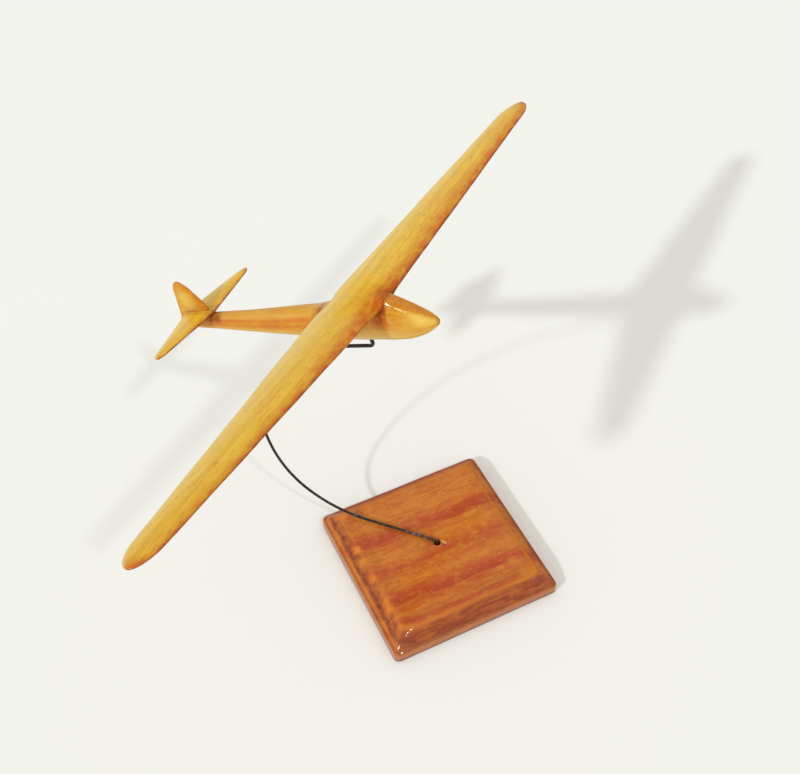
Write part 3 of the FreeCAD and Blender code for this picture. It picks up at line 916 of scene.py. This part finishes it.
def straight(point, direction, length):
    """Places and directions along a straight run, without its end."""
    steps = max(int(length / RUN_STEP), 1)
    return [(point + direction * length * i / steps, direction) for i in range(steps)]


def bend(point, direction, new_direction, radius):
    """Places and directions along an arc, with its end."""
    angle = direction.angle(new_direction)
    inward = (new_direction - direction * math.cos(angle)).normalized()
    centre = point + inward * radius
    steps = max(int(radius * angle / BEND_STEP), 8)
    places = []
    for i in range(steps + 1):
        cos, sin = math.cos(angle * i / steps), math.sin(angle * i / steps)
        places.append((centre + (direction * sin - inward * cos) * radius, direction * cos + inward * sin))
    return places


def wire_line():
    """Places along the middle of the wire and its directions there, from the plinth to the pin's end."""
    crest = 180.0 - FOOT_RISE - LOWER_BEND[1]
    bends = [(across_stand(180.0 - FOOT_RISE), SMALL_BEND), (across_stand(crest), LOWER_BEND[0]),
             (across_stand(crest - UPPER_BEND[1]), UPPER_BEND[0]), (PIN_WAY, SMALL_BEND)]
    point, direction = Vector((0, 0, HOLE_BOTTOM)), Vector((0, 0, 1))
    # how far before a small bend's corner its arc starts
    foot_setback = SMALL_BEND * math.tan(direction.angle(bends[0][0]) / 2)
    pin_setback = SMALL_BEND * math.tan(bends[2][0].angle(PIN_WAY) / 2)
    runs = [FOOT_HEIGHT - HOLE_BOTTOM - foot_setback, FOOT_RUN - foot_setback, 0, TOP_RUN - pin_setback]
    line = []
    for run, (new_direction, radius) in zip(runs, bends):
        if run:
            line += straight(point, direction, run)
        arc = bend(point + direction * run, direction, new_direction, radius)
        line += arc[:-1]
        point, direction = arc[-1][0], new_direction
    pin_run = PIN_LENGTH - pin_setback
    return line + straight(point, direction, pin_run) + [(point + direction * pin_run, direction)]


def lacquer_at(from_hole):
    """How high the drops of lacquer stand on the wire at a place, and how wet it looks there."""
    height, wet = 0.0, 0.0
    for start, length, thick in LACQUER_DROPS:
        share = (from_hole - start) / length
        if 0 < share < 1:
            height += thick * (1 - share) * smooth_step(0.0, 0.2, share)
            wet = smooth_step(0.0, 0.15, share) * smooth_step(1.0, 0.85, share)
    return height, wet


def wire_piece(material):
    around = 20
    all_round = np.ones(around)
    angle = 2 * np.pi * np.arange(around) / around
    aside = Vector((-math.sin(WIRE_TURN), math.cos(WIRE_TURN), 0))
    rings, marks = [], []
    for point, direction in wire_line():
        side = (aside - direction * direction.dot(aside)).normalized()
        rise = np.array(direction.cross(side))
        radial = np.cos(angle)[:, None] * np.array(side) + np.sin(angle)[:, None] * rise
        middle = np.array(point)
        from_hole = math.hypot(point.x, point.y)
        in_foot = point.z < FOOT_TOP
        drop, wet = lacquer_at(from_hole) if in_foot else (0.0, 0.0)
        lacquered = smooth_step(1.0, 3.0, from_hole) * smooth_step(30, 18, from_hole) * in_foot
        rough = wander(middle + radial * 1.4, 2.3, 10) * (0.02 + 0.04 * lacquered)
        # the top run is a little thicker, up to the belly
        up_pin = (point - PIN_PLACE / MM).dot(PIN_WAY)
        thicker = 0.14 * smooth_step(120, 160, point.z) * smooth_step(1.5, -1.5, up_pin)
        bent_by_hand = smooth_step(6, 16, from_hole) * (point.z < 140)
        hand_bend = 0.10 * noise.noise(Vector(middle) / 13) * bent_by_hand
        radius = WIRE_RADIUS - WIRE_SLACK + thicker + drop + rough
        rings.append(middle + np.array(side) * hand_bend + radial * radius[:, None])
        # the foot is reddish brown: rust, with a painted reflection of the plinth's wood
        reddish_foot = smooth_step(34, 8, from_hole) * in_foot
        marks.append({"foot": reddish_foot * all_round, "lacquer": wet * all_round})
    return skin("bent_wire", np.array(rings), marks, Matrix.Identity(4), "stand", material,
                ["stand_wire"])


def wire_steel():
    """Dark steel, reddish brown at the foot with rust and a painted reflection of the plinth, with a glossy
    coat only on the drops of lacquer.
    """
    s = Shader("steel_wire")
    place = s.own_place()
    rust = s.grain(place, 2.4, detail=4.0, rough=0.6)
    scale = s.grain(place, 0.5, detail=2.0)
    colour = s.ramp(rust, [(0.32, (0.012, 0.009, 0.006)), (0.5, (0.026, 0.02, 0.013)),
                           (0.68, (0.065, 0.038, 0.02))])
    colour = s.mix(s.times(s.mark("foot"), 0.6), colour, (0.11, 0.035, 0.014))
    roughness = s.range(scale, 0.3, 0.7, 0.22, 0.46)
    normal = s.bump(s.plus(scale, s.times(rust, 2.0)), 0.35, 0.05)
    gloss = s.range(s.mark("lacquer"), 0.0, 1.0, 0.1, 0.85)
    return s.finish(Base_Color=colour, Metallic=0.3, Roughness=roughness, Normal=normal, Coat_Weight=gloss,
                    Coat_Roughness=0.05, Coat_IOR=1.9, Specular_IOR_Level=0.15)


# ---------------------------------------------------------------- build

wing_piece(carved_wood("wing_wood", ALONG_SPAN, GOLD, darkening=0.5, seed=1.0, blotch=0.2))
tailplane_piece(carved_wood("tail_wood", ALONG_SPAN, GOLD, darkening=0.45, seed=4.0, blotch=0.2))
fuselage_piece(carved_wood("fuselage_wood", ALONG_BODY, AMBER, darkening=0.4, seed=2.0, blotch=0.3,
                           rough=(0.22, 0.38), coat=0.7, coat_rough=0.08))
fin_piece(carved_wood("fin_wood", ALONG_BODY, AMBER, darkening=0.4, seed=3.0, blotch=0.35))
plinth_piece(plinth_wood())
wire_piece(wire_steel())


# ---------------------------------------------------------------- floor, light, camera

FLOOR_REACH = 60.0


def paper():
    s = Shader("floor_paper")
    tooth = s.grain(s.place(), 0.4, detail=2.0)
    cloud = s.grain(s.place(), 300, detail=2.0)
    colour = s.ramp(cloud, [(0.3, (0.85, 0.85, 0.83)), (0.7, (0.86, 0.86, 0.84))])
    return s.finish(Base_Color=colour, Roughness=0.6, Normal=s.bump(tooth, 0.05, 0.03),
                    Specular_IOR_Level=0.2)


def lay_floor():
    corners = [(-1, -1), (1, -1), (1, 1), (-1, 1)]
    mesh = bpy.data.meshes.new("floor")
    mesh.from_pydata([(x * FLOOR_REACH, y * FLOOR_REACH, 0) for x, y in corners], [], [(0, 1, 2, 3)])
    mesh.materials.append(paper())
    floor = bpy.data.objects.new("floor", mesh)
    bpy.context.scene.collection.objects.link(floor)


def sun(name, towards_light, strength, spread_degrees, colour):
    lamp = bpy.data.lights.new(name, "SUN")
    lamp.energy = strength
    lamp.angle = math.radians(spread_degrees)
    lamp.color = colour
    made = bpy.data.objects.new(name, lamp)
    made.rotation_mode = "QUATERNION"
    made.rotation_quaternion = Vector(towards_light).to_track_quat("Z", "Y")
    bpy.context.scene.collection.objects.link(made)


def studio_sky(colour, strength):
    world = bpy.data.worlds.new("studio")
    world.use_nodes = True
    background = world.node_tree.nodes["Background"]
    background.inputs[0].default_value = (*colour, 1)
    background.inputs[1].default_value = strength
    bpy.context.scene.world = world
    bpy.context.scene.view_settings.view_transform = "Standard"


AZIMUTH, ELEVATION, ROLL = 27.0, 49.0, -0.5
AIM, DISTANCE = Vector((-0.0761, 0.1052, 0.0)), 0.722
LENS, SENSOR_WIDTH = 50.4, 36.0


def set_camera():
    turn, tilt, lean = math.radians(AZIMUTH), math.radians(ELEVATION), math.radians(ROLL)
    back = Vector((math.sin(turn) * math.cos(tilt), -math.cos(turn) * math.cos(tilt), math.sin(tilt)))
    level_right = Vector((math.cos(turn), math.sin(turn), 0))
    level_up = back.cross(level_right)
    right = level_right * math.cos(lean) + level_up * math.sin(lean)
    up = level_up * math.cos(lean) - level_right * math.sin(lean)
    camera_data = bpy.data.cameras.new("camera")
    camera_data.lens = LENS
    camera_data.sensor_width = SENSOR_WIDTH
    camera_data.clip_start = 0.01
    camera = bpy.data.objects.new("camera", camera_data)
    looking = Matrix((right, up, back)).transposed().to_4x4()
    camera.matrix_world = Matrix.Translation(AIM + back * DISTANCE) @ looking
    bpy.context.scene.collection.objects.link(camera)
    bpy.context.scene.camera = camera


lay_floor()
sun("key", (-0.27, -0.79, 0.55), 1.36, 2.6, (0.93, 0.98, 1.0))
sun("second", (0.52, -0.33, 0.78), 0.5, 3.2, (0.97, 0.99, 1.0))
studio_sky((1.0, 0.975, 0.925), 0.72)
set_camera()

bpy.context.view_layer.update()
